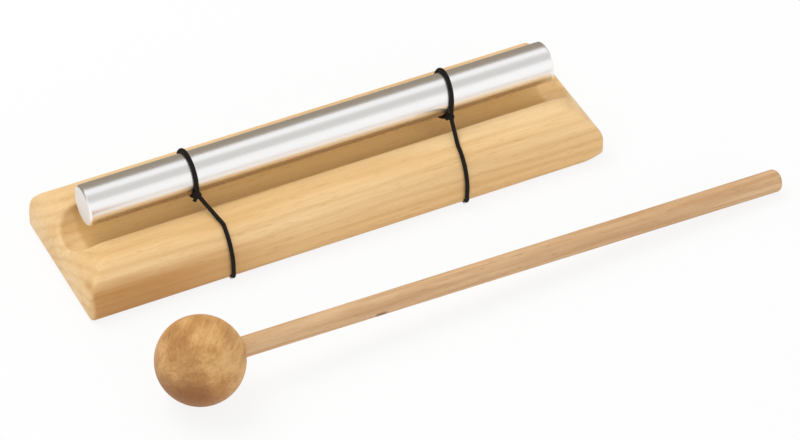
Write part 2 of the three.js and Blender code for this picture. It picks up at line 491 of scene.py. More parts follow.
@dataclass(frozen=True)
class ElasticFinish:
    """The woven cover of an elastic cord; its relief is in the mesh, as the attribute weave, and its colour
    carries painted shade in the weave's valleys and a painted sheen on its crowns.
    """

    name: str
    painted_valley_shade: Colour
    painted_crown_sheen: Colour
    roughness: float = 0.88
    worn_crowns: float = 0.2
    fuzz_size: float = 0.25
    fuzz_depth: float = 0.03
    fuzz_strength: float = 0.4

    def material(self) -> bpy.types.Material:
        """Builds the finish.

        Returns:
            The material.
        """
        material, graph = new_material(self.name)
        weave = graph.node("ShaderNodeAttribute", {"attribute_name": "weave"}, output="Fac")
        fuzz = graph.noise(graph.place(), (self.fuzz_size,) * 3, 3)
        graph.surface(
            # painted shade in the valleys and painted sheen on the crowns, following the weave's height
            Base_Color=graph.mix(weave * 0.7 + fuzz * 0.3, self.painted_valley_shade, self.painted_crown_sheen),
            Roughness=self.roughness - weave * self.worn_crowns,
            Specular_IOR_Level=0.3,
            Normal=graph.bump(fuzz, self.fuzz_depth, self.fuzz_strength),
        )
        return material


@dataclass
class Mesh:
    """Corners in millimetres and the faces between them."""

    corners: np.ndarray
    faces: Faces
    weave: np.ndarray | None = None

    def joined(self, other: "Mesh") -> "Mesh":
        """Both meshes as one.

        Args:
            other: the mesh to add.

        Returns:
            The joined mesh.
        """
        shift = len(self.corners)
        moved = [tuple(i + shift for i in face) for face in other.faces]
        weave = None if self.weave is None else np.concatenate([self.weave, other.weave])
        return Mesh(np.vstack([self.corners, other.corners]), self.faces + moved, weave)

    def turned(self, matrix: Matrix) -> "Mesh":
        """The mesh with its corners moved by a matrix in millimetres.

        Args:
            matrix: the 4x4 matrix.

        Returns:
            The moved mesh.
        """
        grid = np.array(matrix)
        return Mesh(self.corners @ grid[:3, :3].T + grid[:3, 3], self.faces, self.weave)


def link_object(name: str, data: bpy.types.ID) -> bpy.types.Object:
    """Puts a mesh, lamp or camera in the scene.

    Args:
        name: the object's name.
        data: what it shows.

    Returns:
        The object.
    """
    made = bpy.data.objects.new(name, data)
    bpy.context.scene.collection.objects.link(made)
    return made


def flat_sheet(
    name: str,
    half_x: float,
    half_y: float,
    material: bpy.types.Material,
) -> bpy.types.Object:
    """Makes a level rectangle round its own middle.

    Args:
        name: the object's name.
        half_x: half its width in metres.
        half_y: half its depth in metres.
        material: its finish.

    Returns:
        The object.
    """
    data = bpy.data.meshes.new(name)
    corners = [(-half_x, -half_y, 0), (half_x, -half_y, 0), (half_x, half_y, 0), (-half_x, half_y, 0)]
    data.from_pydata(corners, [], [(0, 1, 2, 3)])
    data.materials.append(material)
    return link_object(name, data)


def add_piece(
    name: str,
    mesh: Mesh,
    material: bpy.types.Material,
    normals: np.ndarray | None = None,
    matrix: Matrix | None = None,
) -> bpy.types.Object:
    """Puts a mesh in the scene as a smooth object.

    Args:
        name: the piece's name.
        mesh: its mesh, in the piece's own coordinates.
        material: its finish.
        normals: a normal for each corner, where the faces' own aren't fine enough.
        matrix: where the piece's own coordinates lie, in metres.

    Returns:
        The object.
    """
    data = bpy.data.meshes.new(name)
    data.from_pydata((mesh.corners * MM).tolist(), [], mesh.faces)
    data.shade_smooth()
    if mesh.weave is not None:
        weave = data.attributes.new("weave", "FLOAT", "POINT")
        weave.data.foreach_set("value", mesh.weave.astype(np.float32))
    if normals is not None:
        data.normals_split_custom_set_from_vertices(normals.tolist())
    data.materials.append(material)
    piece = link_object(name, data)
    if matrix is not None:
        piece.matrix_world = matrix
    return piece


def smooth_max(first: np.ndarray, second: np.ndarray, ease: float | np.ndarray) -> np.ndarray:
    """The larger of two fields, with the crease between them rounded.

    Args:
        first: one field.
        second: the other.
        ease: width of the rounded crease.

    Returns:
        The joined field.
    """
    least_width = 1e-6
    width = np.maximum(ease, least_width)
    near = np.maximum(width - np.abs(first - second), 0) / width
    return np.maximum(first, second) + near * near * width / 4


def slope_of(shape: Field, points: np.ndarray) -> np.ndarray:
    """How fast a field grows along each axis.

    Args:
        shape: the field.
        points: places in millimetres.

    Returns:
        Its gradient at each place.
    """
    step = 0.01
    sides = [(shape(points + step * axis) - shape(points - step * axis)) / (2 * step) for axis in np.eye(3)]
    return np.stack(sides, -1)


def skin_of(shape: Field, lines: Sequence[np.ndarray]) -> Mesh:
    """Wraps the surface where a field is 0 in quads, with a corner in each grid cell that it crosses.

    Args:
        shape: the field, below 0 inside the solid.
        lines: the grid's X, Y and Z lines in millimetres.

    Returns:
        The closed mesh.
    """
    grid = np.stack(np.meshgrid(*lines, indexing="ij"), -1)
    value = shape(grid)
    cells = [len(line) - 1 for line in lines]
    total, count = np.zeros((*cells, 3)), np.zeros((*cells, 1))
    crossings = []
    for axis in range(3):
        low = tuple(slice(None, -1) if i == axis else slice(None) for i in range(3))
        high = tuple(slice(1, None) if i == axis else slice(None) for i in range(3))
        cut = (value[low] < 0) != (value[high] < 0)
        share = np.where(cut, value[low] / np.where(cut, value[low] - value[high], 1), 0)[..., None]
        place = np.where(cut[..., None], grid[low] + share * (grid[high] - grid[low]), 0)
        others = [i for i in range(3) if i != axis]
        for steps in np.ndindex(2, 2):
            window = [slice(None)] * 3
            for other, step in zip(others, steps):
                window[other] = slice(step, step + cells[other])
            total += place[tuple(window)]
            count += cut[tuple(window)][..., None]
        crossings.append((axis, others, cut, value[low] < 0))
    used = count[..., 0] > 0
    number = np.cumsum(used).reshape(used.shape) - 1
    faces = [quad for crossing in crossings for quad in _quads(number, *crossing)]
    return Mesh(total[used] / count[used], faces)


def _quads(number: np.ndarray, axis: int, others: list[int], cut: np.ndarray, leaves: np.ndarray) -> Faces:
    """The quads round the grid edges along one axis that the surface crosses.

    Args:
        number: the corner in each cell.
        axis: the axis.
        others: the other two axes.
        cut: the edges that are crossed.
        leaves: the edges that start inside the solid.

    Returns:
        The faces, all facing out.
    """
    edges = np.argwhere(cut)
    ring = []
    for steps in ((1, 1), (0, 1), (0, 0), (1, 0)):
        cell = edges.copy()
        for other, step in zip(others, steps):
            cell[:, other] -= step
        ring.append(number[tuple(cell.T)])
    quads = np.stack(ring, -1)
    outward = leaves[tuple(edges.T)] == (axis != 1)
    quads[~outward] = quads[~outward][:, ::-1]
    return [tuple(quad) for quad in quads.tolist()]


def settled(points: np.ndarray, shape: Field, rounds: int = 4) -> np.ndarray:
    """Moves points onto the surface where a field is 0.

    Args:
        points: places in millimetres.
        shape: the field.
        rounds: how many times they are moved.

    Returns:
        The places on the surface.
    """
    least_slope = 0.05
    for _ in range(rounds):
        slope = slope_of(shape, points)
        steep = np.maximum((slope**2).sum(-1), least_slope)
        points = points - slope * (shape(points) / steep)[:, None]
    return points


def spaced(*stretches: tuple[float, float, float]) -> np.ndarray:
    """Grid lines with a spacing of their own in each stretch.

    Args:
        stretches: start, end and spacing of each, in order and end to end.

    Returns:
        The lines.
    """
    parts = [np.linspace(a, b, max(round((b - a) / gap), 1) + 1)[:-1] for a, b, gap in stretches]
    return np.append(np.concatenate(parts), stretches[-1][1])


def turned_mesh(profile: Sequence[tuple[float, float]], sides: int) -> Mesh:
    """Turns a profile round the X axis, as on a lathe.

    Args:
        profile: places along X and radii; the first and last radius are 0.
        sides: corners round each ring.

    Returns:
        The closed mesh.
    """
    rings = np.array(profile[1:-1], float)
    angles = np.linspace(0, math.tau, sides, endpoint=False)
    around = np.stack([np.zeros(sides), np.cos(angles), np.sin(angles)], -1)
    corners = rings[:, None, 1:] * around[None] + rings[:, None, :1] * np.array([1.0, 0, 0])
    last = len(rings) * sides
    ends = [[profile[0][0], 0, 0], [profile[-1][0], 0, 0]]
    after = [(i + 1) % sides for i in range(sides)]
    faces: Faces = [(last, after[i], i) for i in range(sides)]
    for ring in range(len(rings) - 1):
        near, far = ring * sides, (ring + 1) * sides
        faces += [(near + i, near + after[i], far + after[i], far + i) for i in range(sides)]
    faces += [(last + 1, last - sides + i, last - sides + after[i]) for i in range(sides)]
    return Mesh(np.vstack([corners.reshape(-1, 3), ends]), faces)


def arc(centre: tuple[float, float], radius: float, start: float, end: float, steps: int) -> np.ndarray:
    """Points of an arc, both ends included.

    Args:
        centre: its middle in the plane.
        radius: its radius.
        start: the first angle in degrees.
        end: the last angle in degrees.
        steps: how many parts it has.

    Returns:
        The points, one in each row.
    """
    angles = np.radians(np.linspace(start, end, steps + 1))
    return np.stack([centre[0] + radius * np.cos(angles), centre[1] + radius * np.sin(angles)], -1)


@dataclass
class BaseBlock:
    """The grooved hardwood base, with the two holes behind its groove and the kerfs that lead to them.

    The upright corners are those at the front left, the front right and the back. The foot is worn
    rounder towards the right end. The steps are the spacings of the grid that the surface comes from.
    """

    finish: WoodFinish
    length: float = 170
    width: float = 50.4
    height: float = 16
    top_round: float = 12
    foot_round: float = 2.4
    corner_rounds: tuple[float, float, float] = (2.8, 3.4, 4)
    worn_foot: float = 3.4
    worn_from: float = 76.5
    groove_radius: float = 9.4
    groove_depth: float = 8
    groove_inset: float = 8.8
    kerf_width: float = 1.5
    kerf_depth: float = 1.9
    kerfs: tuple[float, float] = (-39.76, 37.06)
    hole_diameter: float = 2.4
    hole_place: float = 11.995
    ridge_ease: float = 1.0
    lip_ease: float = 1.5
    saw_ease: float = 0.25
    fine_step: float = 0.36
    coarse_step: float = 1.0
    kerf_step: float = 0.2
    groove_step: float = 0.6
    lip_step: float = 0.18
    top_step: float = 0.2
    foot_step: float = 0.25
    kerf_margin: float = 2.0
    lip_margin: float = 1.0
    grid_margin: float = 0.6

    def outline_depth(self, points: np.ndarray) -> np.ndarray:
        """How far places lie inside the nearest side plane, with the mitres between sides eased.

        Args:
            points: places in millimetres.

        Returns:
            The depth, below 0 outside.
        """
        past_end = np.abs(points[..., 0]) - self.length / 2
        past_side = np.abs(points[..., 1]) - self.width / 2
        return -smooth_max(past_end, past_side, self.ridge_ease)

    def block(self, points: np.ndarray) -> np.ndarray:
        """The block before the groove and kerfs are cut.

        Args:
            points: places in millimetres.

        Returns:
            The field, below 0 inside.
        """
        x, y, z = points[..., 0], points[..., 1], points[..., 2]
        depth = self.outline_depth(points)
        top = self._rounded(self.top_round - depth, z - self.height + self.top_round, self.top_round)
        worn = np.clip((x - self.worn_from) / (self.length / 2 - self.worn_from), 0, 1) ** 2
        foot_round = self.foot_round + self.worn_foot * worn
        foot = self._rounded(foot_round - depth, foot_round - z, foot_round)
        front_left, front_right, back = self.corner_rounds
        turn = np.where(y > 0, back, np.where(x < 0, front_left, front_right))
        corner = self._rounded(np.abs(x) - self.length / 2 + turn, np.abs(y) - self.width / 2 + turn, turn)
        wall_top = self.height - self.top_round
        ease = self.ridge_ease * np.clip((z - wall_top) / wall_top, 0, 1)
        return smooth_max(np.maximum(top, foot), corner, ease)

    @staticmethod
    def _rounded(along: np.ndarray, across: np.ndarray, radius: float | np.ndarray) -> np.ndarray:
        """A corner between two planes, rounded.

        Args:
            along: distance past the first plane's tangent line.
            across: distance past the second plane's tangent line.
            radius: the rounding.

        Returns:
            The field, below 0 inside.
        """
        outside = np.hypot(np.maximum(along, 0), np.maximum(across, 0))
        return np.minimum(np.maximum(along, across), 0) + outside - radius

    def shape(self, points: np.ndarray) -> np.ndarray:
        """The finished base.

        Args:
            points: places in millimetres.

        Returns:
            The field, below 0 inside.
        """
        x, y, z = points[..., 0], points[..., 1], points[..., 2]
        reach = self.length / 2 - self.groove_inset
        centre = self.height - self.groove_depth + self.groove_radius
        past = x - np.clip(x, -reach, reach)
        groove = np.sqrt(past**2 + y**2 + (z - centre) ** 2) - self.groove_radius
        solid = smooth_max(self.block(points), -groove, self.lip_ease)
        for middle in self.kerfs:
            kerf = np.maximum(np.abs(x - middle) - self.kerf_width / 2, z - self.kerf_depth)
            hole = np.hypot(x - middle, y - self.hole_place) - self.hole_diameter / 2
            solid = smooth_max(solid, -np.maximum(kerf, y - self.hole_place), self.saw_ease)
            solid = smooth_max(solid, -hole, self.saw_ease)
        return solid

    def lines(self) -> list[np.ndarray]:
        """The grid that the surface is taken from, finer where the form turns.

        Returns:
            Its X, Y and Z lines.
        """
        over, near, fine, coarse = self.grid_margin, self.kerf_margin, self.fine_step, self.coarse_step
        end, side = self.length / 2 - self.top_round - 1, self.width / 2 - self.top_round
        inner_lip, outer_lip = self.groove_radius - self.lip_margin, self.groove_radius + self.lip_margin
        left, right = self.kerfs
        along = spaced(
            (-self.length / 2 - over, -end, fine),
            (-end, left - near, coarse),
            (left - near, left + near, self.kerf_step),
            (left + near, right - near, coarse),
            (right - near, right + near, self.kerf_step),
            (right + near, end, coarse),
            (end, self.length / 2 + over, fine),
        )
        half = spaced(
            (0, inner_lip, self.groove_step),
            (inner_lip, outer_lip, self.lip_step),
            (outer_lip, side, self.top_step),
            (side, self.width / 2 + over, fine),
        )
        upward = spaced((-over, self.foot_round, self.foot_step), (self.foot_round, self.height + over, fine))
        return [along, np.concatenate([-half[:0:-1], half]), upward]

    def build(self) -> bpy.types.Object:
        """Makes the base in place of its CAD node.

        Returns:
            The piece.
        """
        mesh = skin_of(self.shape, self.lines())
        mesh.corners = settled(mesh.corners, self.shape)
        slope = slope_of(self.shape, mesh.corners)
        normals = slope / np.maximum(np.linalg.norm(slope, axis=1, keepdims=True), 1e-9)
        piece = add_piece("base", mesh, self.finish.material(), normals)
        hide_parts("base_block")
        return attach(piece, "base")


@dataclass
class ChimeRod:
    """The polished rod with its small rounded chamfers."""

    finish: MetalFinish
    diameter: float = 12.7
    length: float = 152.4
    chamfer: float = 0.5
    edge_round: float = 0.18
    shift: float = 0.2
    axis_height: float = 22.75
    sides: int = 160
    face_rings: tuple[float, ...] = (0.0, 0.25, 0.5, 0.75, 0.9)
    shank_rings: int = 24

    def profile(self) -> list[tuple[float, float]]:
        """The rod's outline from its left face to its right one.

        Returns:
            Places along X and radii.
        """
        end, radius = self.length / 2, self.diameter / 2
        reach = self.edge_round / 2
        rim = [
            (end, radius - self.chamfer - reach),
            (end - reach / 3, radius - self.chamfer + reach / 3),
            (end - self.chamfer + reach / 3, radius - reach / 3),
            (end - self.chamfer - reach, radius),
        ]
        face = [(end, radius * share) for share in self.face_rings]
        shank = [(x, radius) for x in np.linspace(end - self.chamfer - 1, 0, self.shank_rings)]
        half = face + rim + shank
        mirrored = [(-x, r) for x, r in half]
        return mirrored + half[-2::-1]

    def build(self) -> bpy.types.Object:
        """Makes the rod in place of its CAD node.

        Returns:
            The piece.
        """
        place = Matrix.Translation(Vector((self.shift, 0, self.axis_height)) * MM)
        mesh = turned_mesh(self.profile(), self.sides)
        piece = add_piece("rod", mesh, self.finish.material(), matrix=place)
        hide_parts("chime_rod")
        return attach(piece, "rod")


class Side(enum.Enum):
    """Which end of the base a cord is at; the value is its direction along X."""

    LEFT = -1
    RIGHT = 1


@dataclass
class Strand:
    """A stretch of cord along a route, in a cover woven of two sets of threads."""

    route: np.ndarray
    radius: float
    closed: bool = False
    step: float = 0.14
    smoothing: int = 24
    sides: int = 26
    threads: int = 6
    pitch: float = 3.4
    relief: float = 0.045
    swell: Callable[[np.ndarray], np.ndarray] | None = None

    def path(self) -> np.ndarray:
        """The route as a smooth line with even steps.

        Returns:
            Its points; a closed line doesn't repeat its first.
        """
        points = self.route
        if self.closed:
            before, after = points[-1:], points[:2]
        else:
            before, after = 2 * points[:1] - points[1:2], 2 * points[-1:] - points[-2:-1]
        marks = np.vstack([before, points, after])
        t = np.linspace(0, 1, self.smoothing, endpoint=False)[:, None]
        fine = []
        for a, b, c, d in zip(marks, marks[1:], marks[2:], marks[3:]):
            bend = 2 * b + (c - a) * t + (2 * a - 5 * b + 4 * c - d) * t**2 + (3 * b - a - 3 * c + d) * t**3
            fine.append(bend / 2)
        line = np.vstack([*fine, points[:1] if self.closed else points[-1:]])
        travel = np.append(0, np.cumsum(np.linalg.norm(np.diff(line, axis=0), axis=1)))
        fewest = 8
        count = max(round(travel[-1] / self.step), fewest)
        places = np.linspace(0, travel[-1], count + 1)
        even = np.stack([np.interp(places, travel, line[:, i]) for i in range(3)], -1)
        return even[:-1] if self.closed else even

    def mesh(self) -> Mesh:
        """Sweeps the woven section along the path.

        Returns:
            The tube, its ends closed, with the weave's height at each corner.
        """
        line = self.path()
        if self.closed:
            ahead, behind = np.roll(line, -1, 0), np.roll(line, 1, 0)
        else:
            ahead = np.vstack([line[1:], 2 * line[-1:] - line[-2:-1]])
            behind = np.vstack([2 * line[:1] - line[1:2], line[:-1]])
        tangent = ahead - behind
        tangent /= np.linalg.norm(tangent, axis=1, keepdims=True)
        across = [self.square_to(tangent[0], np.array([1.0, 0.2, 0.1]))]
        for way in tangent[1:]:
            across.append(self.square_to(way, across[-1]))
        across = np.array(across)
        upright = np.cross(tangent, across)
        count = len(line)
        number = np.arange(count)[:, None]
        around = np.linspace(0, math.tau, self.sides, endpoint=False)[None]
        twist = self._closing_twist(tangent, across) if self.closed else 0.0
        angle = around + twist * number / count
        height = self._weave(number * self.step, around, count)
        radius = self.radius + self.relief * (height - 1)
        if self.swell is not None:
            radius = radius * self.swell(np.linspace(0, 1, count))[:, None]
        ring = np.cos(angle)[..., None] * across[:, None] + np.sin(angle)[..., None] * upright[:, None]
        corners = (line[:, None] + radius[..., None] * ring).reshape(-1, 3)
        return self._skinned(corners, height.ravel(), line, count)

    @staticmethod
    def square_to(way: np.ndarray, near: np.ndarray) -> np.ndarray:
        """The direction square to one way that is nearest to another.

        Args:
            way: the first direction.
            near: the other.

        Returns:
            A direction of length 1.
        """
        flat = near - way * (near @ way)
        return flat / np.linalg.norm(flat)

    @staticmethod
    def _closing_twist(tangent: np.ndarray, across: np.ndarray) -> float:
        """The turn that a closed tube's section lacks when it comes back to its start.

        Args:
            tangent: the path's direction at each point.
            across: the section's first direction at each point.

        Returns:
            The angle in radians.
        """
        back = Strand.square_to(tangent[0], across[-1])
        return math.atan2(np.cross(back, across[0]) @ tangent[0], back @ across[0])

    def _weave(self, along: np.ndarray, around: np.ndarray, count: int) -> np.ndarray:
        """The relief of two sets of threads that wind round the cord in opposite ways.

        Args:
            along: distance from the start in millimetres.
            around: angle round the cord.
            count: steps in the path.

        Returns:
            The height, 0 in the valleys and 1 on the crowns.
        """
        turns = max(round(count * self.step / self.pitch), 1)
        travel = math.tau * turns * along / (count * self.step)
        one = np.cos(self.threads * around + travel * self.threads)
        other = np.cos(self.threads * around - travel * self.threads)
        return np.clip(np.abs(one * other), 0, 1) ** 0.5

    def _skinned(self, corners: np.ndarray, height: np.ndarray, line: np.ndarray, count: int) -> Mesh:
        """Joins the rings of corners with faces.

        Args:
            corners: the rings, one after the other.
            height: the weave's height at each corner.
            line: the path.
            count: how many rings there are.

        Returns:
            The tube.
        """
        sides = self.sides
        after = [(i + 1) % sides for i in range(sides)]
        faces: Faces = []
        for ring in range(count if self.closed else count - 1):
            near, far = ring * sides, (ring + 1) % count * sides
            faces += [(near + i, near + after[i], far + after[i], far + i) for i in range(sides)]
        if self.closed:
            return Mesh(corners, faces, height)
        last = count * sides
        faces += [(last, after[i], i) for i in range(sides)]
        faces += [(last + 1, last - sides + i, last - sides + after[i]) for i in range(sides)]
        return Mesh(np.vstack([corners, line[:1], line[-1:]]), faces, np.append(height, [0.5, 0.5]))


@dataclass
class CordLoop:
    """One elastic cord: a ring round the rod, a knot in front, and a long run round the base.

    Places along X count outwards from the rod's still point, towards the rod's end. The knot lies at
    an angle round the rod, in degrees from the back over the top. The hold and the slack are places in Y and
    Z given for the stretches that go over from the base to the moving ring; those stretches are left
    unattached, and the places are not used further.
    """

    side: Side
    finish: ElasticFinish
    base: BaseBlock
    rod: ChimeRod
    knot_out: float
    crest_out: float
    under_out: float
    shoulder: float
    foot: float
    knot_angle: float
    knot_standoff: float
    tail: Point
    hold_start: tuple[float, float]
    hold_end: tuple[float, float]
    still_share: float = 0.224
    diameter: float = 1.3
    lift: float = 0.03
    knot_radius: float = 0.5
    knot_swell: float = 0.16
    knot_height: float = 0.8
    knot_core: float = 1.0
    knot_reach: float = 1.3
    knot_ease: float = 0.25
    knot_grid: float = 0.11
    knot_points: int = 110
    pulled_radius: float = 0.46
    tail_share: float = 0.85
    tail_flare: float = 0.16
    tail_bend: float = 0.12
    crest_angle: float = 45.0
    ring_steps: int = 34
    bend_steps: int = 5
    shoulder_steps: int = 12
    foot_bend: float = 1.1
    foot_tuck: float = 1.0
    slack_from: float = 9.9
    slack_to: float = 1.8
    hole_turn: float = 0.8
    hole_meet: float = 2.6
    hole_drop: float = 1.4
    rim_angle: float = 75
    flat_half: float = 0.6

    @property
    def name(self) -> str:
        """The cord's CAD node."""
        return f"cord_{self.side.name.lower()}"

    @property
    def radius(self) -> float:
        """Half the cord's diameter."""
        return self.diameter / 2

    @property
    def off(self) -> float:
        """From a surface to the centre line of a cord that lies on it."""
        return self.radius + self.lift

    @property
    def ring_radius(self) -> float:
        """From the rod's axis to the ring's centre line."""
        return self.rod.diameter / 2 + self.off

    @property
    def hole_line(self) -> float:
        """Y of the cord in its hole, where it lies against the front of the wall."""
        return self.base.hole_place - self.base.hole_diameter / 2 + self.off

    def x_of(self, outward: float) -> float:
        """X of a place that lies outwards of the rod's still point.

        Args:
            outward: the distance towards the rod's end.

        Returns:
            X in millimetres.
        """
        still = self.rod.length * (0.5 - self.still_share)
        return self.side.value * (still + outward) + self.rod.shift

    def ring_x(self, angle: np.ndarray) -> np.ndarray:
        """X of the ring, which lies in a leaning plane.

        Args:
            angle: places round the rod in degrees from the back, over the top.

        Returns:
            X in millimetres.
        """
        front, crest = self.x_of(self.knot_out), self.x_of(self.crest_out)
        return (front + crest) / 2 + (crest - front) / 2 * np.cos(np.radians(angle - self.crest_angle))

    def round_rod(self, start: float, end: float, x: np.ndarray, steps: int) -> np.ndarray:
        """A stretch that hugs the rod.

        Args:
            start: first angle in degrees from the back, over the top.
            end: last angle.
            x: X at each point, or at both ends.
            steps: how many parts it has.

        Returns:
            The points.
        """
        flat = arc((0, self.rod.axis_height), self.ring_radius, start, end, steps)
        share = np.linspace(0, 1, steps + 1)
        return np.column_stack([np.interp(share, np.linspace(0, 1, len(x)), x), flat])

    def knot_place(self) -> np.ndarray:
        """Where the knot lies.

        Returns:
            Its middle.
        """
        reach = self.ring_radius + self.knot_standoff
        ((y, z),) = arc((0, self.rod.axis_height), reach, self.knot_angle, self.knot_angle, 0)
        return np.array([self.x_of(self.knot_out), y, z])

    def hug_angle(self) -> float:
        """The angle between the knot and where the cord touches the rod, in degrees."""
        return math.degrees(math.acos(self.ring_radius / (self.ring_radius + self.knot_standoff)))

    def ring_route(self) -> np.ndarray:
        """The ring: from the knot over the rod, down its back and under it to the knot again.

        Returns:
            The points.
        """
        hug, steps = self.hug_angle(), self.ring_steps
        first, last = self.knot_angle - hug, self.knot_angle + hug - 360
        round_it = self.round_rod(first, last, self.ring_x(np.linspace(first, last, steps + 1)), steps)
        return np.vstack([[self.knot_place()], round_it])

    def taut_angle(self, centre: tuple[float, float], radius: float) -> float:
        """The angle at which a taut strand from the knot meets a bend.

        Args:
            centre: the bend's middle, as distance from the rod's axis plane and height.
            radius: the bend's radius to the strand's centre line.

        Returns:
            The angle in degrees from outwards, over the top.
        """
        _, y, z = self.knot_place()
        across, up = abs(y) - centre[0], z - centre[1]
        return math.degrees(math.atan2(up, across) - math.acos(radius / math.hypot(across, up)))

    def shoulder_bend(self) -> tuple[tuple[float, float], float, float]:
        """The front strand's bend over the base's rounded edge.

        Returns:
            The bend's centre and radius, and the angle at which the strand leaves it for the knot.
        """
        base = self.base
        centre = (base.width / 2 - base.top_round, base.height - base.top_round)
        radius = base.top_round + self.off
        return centre, radius, self.taut_angle(centre, radius)

    def front_route(self) -> np.ndarray:
        """From inside the kerf up the front, taut from the shoulder to the knot and on under the rod.

        Returns:
            The points.
        """
        wall, roof = self.base.width / 2 + self.off, self.base.kerf_depth - self.off
        foot = (wall - self.foot_bend, roof + self.foot_bend)
        turn = arc(foot, self.foot_bend, -90, 0, self.bend_steps)
        centre, radius, top = self.shoulder_bend()
        shoulder = arc(centre, radius, 0, top, self.shoulder_steps)
        section = np.vstack([[[wall - self.foot_bend - self.foot_tuck, roof]], turn, shoulder])
        upright = np.full(len(section) - len(shoulder), self.foot)
        outward = np.concatenate([upright, np.linspace(self.foot, self.shoulder, len(shoulder))])
        x = np.array([self.x_of(value) for value in outward])
        climb = np.column_stack([x, -section[:, 0], section[:, 1]])
        knot, hug, under_x = self.knot_place(), self.hug_angle(), self.x_of(self.under_out)
        taut = climb[-1] + (knot - climb[-1]) * np.linspace(0, 1, 6)[1:, None]
        share = math.radians(hug) * self.ring_radius / abs(knot[1])
        x = np.array([knot[0] + (under_x - knot[0]) * share, under_x])
        under = self.round_rod(self.knot_angle + hug, 270, x, self.bend_steps)
        return np.vstack([climb, taut, under])

    def back_route(self) -> np.ndarray:
        """From under the rod, taut over the back of the groove and down the hole.

        Returns:
            The points.
        """
        inner, under_x = self.hole_line, self.x_of(self.under_out)
        height = self.rod.axis_height - self.ring_radius
        centre = (inner - self.hole_turn, self.base.height + self.off - self.hole_turn)
        turn = arc(centre, self.hole_turn, self.rim_angle, 0, self.bend_steps)
        start = np.array([self.flat_half, height])
        taut = start + (turn[0] - start) * np.linspace(0, 1, 8)[:-1, None]
        down = [[inner, z] for z in np.linspace(centre[1] - self.hole_drop, self.hole_meet, 7)]
        section = np.vstack([[[0, height]], taut, turn, down])
        share = np.clip(section[:, 0] / (inner - self.hole_turn / 2), 0, 1)
        x = under_x + (self.x_of(self.foot) - under_x) * share
        return np.column_stack([x, section])

    def under_route(self) -> np.ndarray:
        """The stretch in the kerf and its bend up into the hole.

        Returns:
            The points.
        """
        inner, roof = self.hole_line, self.base.kerf_depth - self.off
        centre = (inner - self.hole_turn, roof + self.hole_turn)
        turn = arc(centre, self.hole_turn, -90, 0, self.bend_steps)
        front = -(self.base.width / 2 + self.off - self.foot_bend - self.foot_tuck)
        run = [[y, roof] for y in np.linspace(front, inner - self.hole_turn, 12)[:-1]]
        section = np.vstack([run, turn, [[inner, self.hole_meet]]])
        return np.column_stack([np.full(len(section), self.x_of(self.foot)), section])

    def knot_axes(self) -> tuple[np.ndarray, np.ndarray, np.ndarray]:
        """The way in which the long run leaves the knot, and two directions square to it.

        Returns:
            The three directions, each of length 1.
        """
        centre, radius, top = self.shoulder_bend()
        ((reach, height),) = arc(centre, radius, top, top, 0)
        leave = np.array([self.x_of(self.shoulder), -reach, height]) - self.knot_place()
        along = leave / np.linalg.norm(leave)
        across = Strand.square_to(along, np.array([1.0, 0, 0]))
        return along, across, np.cross(along, across)

    def knot_mesh(self) -> Mesh:
        """The knot, pulled tight into a lump whose turns just show, with the cut end.

        Returns:
            The mesh.
        """
        along, across, upright = self.knot_axes()
        turn = np.linspace(0, math.tau, self.knot_points, endpoint=False)[:, None]
        out = self.knot_radius + self.knot_swell * np.cos(3 * turn)
        turns = out * (np.cos(2 * turn) * across + np.sin(2 * turn) * upright)
        turns = turns + self.knot_height * np.sin(3 * turn) * along

        def lump(points: np.ndarray) -> np.ndarray:
            """The pulled turns with their middle filled.

            Args:
                points: places from the knot's middle.

            Returns:
                The field, below 0 inside.
            """
            gaps = (np.linalg.norm(points - spot, axis=-1) for spot in turns)
            wound = functools.reduce(np.minimum, gaps) - self.pulled_radius
            drawn = points - (points @ along)[..., None] * along * (1 - self.knot_core / self.knot_reach)
            core = np.linalg.norm(drawn, axis=-1) - self.knot_core
            return -smooth_max(-wound, -core, self.knot_ease)

        reach = self.knot_radius + self.knot_swell + self.knot_height + self.pulled_radius
        body = skin_of(lump, [np.arange(-reach, reach, self.knot_grid)] * 3)
        body.corners = settled(body.corners, lump)
        place = self.knot_place()
        body = Mesh(body.corners + place, body.faces, np.full(len(body.corners), 0.5))
        way = np.array([self.side.value * self.tail[0], self.tail[1], self.tail[2]])
        bend = [place, place + way * 0.35, place + way * 0.7 + [0, 0, self.tail_bend], place + way]
        end = Strand(np.array(bend), self.radius * self.tail_share, swell=self._frayed)
        return body.joined(end.mesh())

    def _frayed(self, share: np.ndarray) -> np.ndarray:
        """How much thicker the tail is at its cut end."""
        return 1 + self.tail_flare * np.clip((share - 0.8) / 0.2, 0, 1)

    def build(self) -> list[bpy.types.Object]:
        """Makes the cord's pieces in place of its CAD node.

        Returns:
            The pieces.
        """
        material = self.finish.material()
        held = {"start": self._point(self.hold_start), "end": self._point(self.hold_end)}
        slack = {"start": self._point((self.slack_from, 0)), "end": self._point((self.slack_to, 0))}
        stretches = {
            "ring": (Strand(self.ring_route(), self.radius, closed=True).mesh(), held),
            "front": (Strand(self.front_route(), self.radius).mesh(), held),
            "knot": (self.knot_mesh(), held),
            "back": (Strand(self.back_route(), self.radius).mesh(), slack),
            "under": (Strand(self.under_route(), self.radius).mesh(), None),
        }
        pieces = []
        for part, (mesh, bends) in stretches.items():
            piece = add_piece(f"{self.name}_{part}", mesh, material)
            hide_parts(self.name)
            if bends:
                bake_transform(piece)
            else:
                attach(piece, "base")
            pieces.append(piece)
        return pieces

    @staticmethod
    def _point(place: tuple[float, float]) -> Point:
        """A place in the YZ plane as a point in metres.

        Args:
            place: Y and Z in millimetres.

        Returns:
            The point.
        """
        return (0.0, place[0] * MM, place[1] * MM)


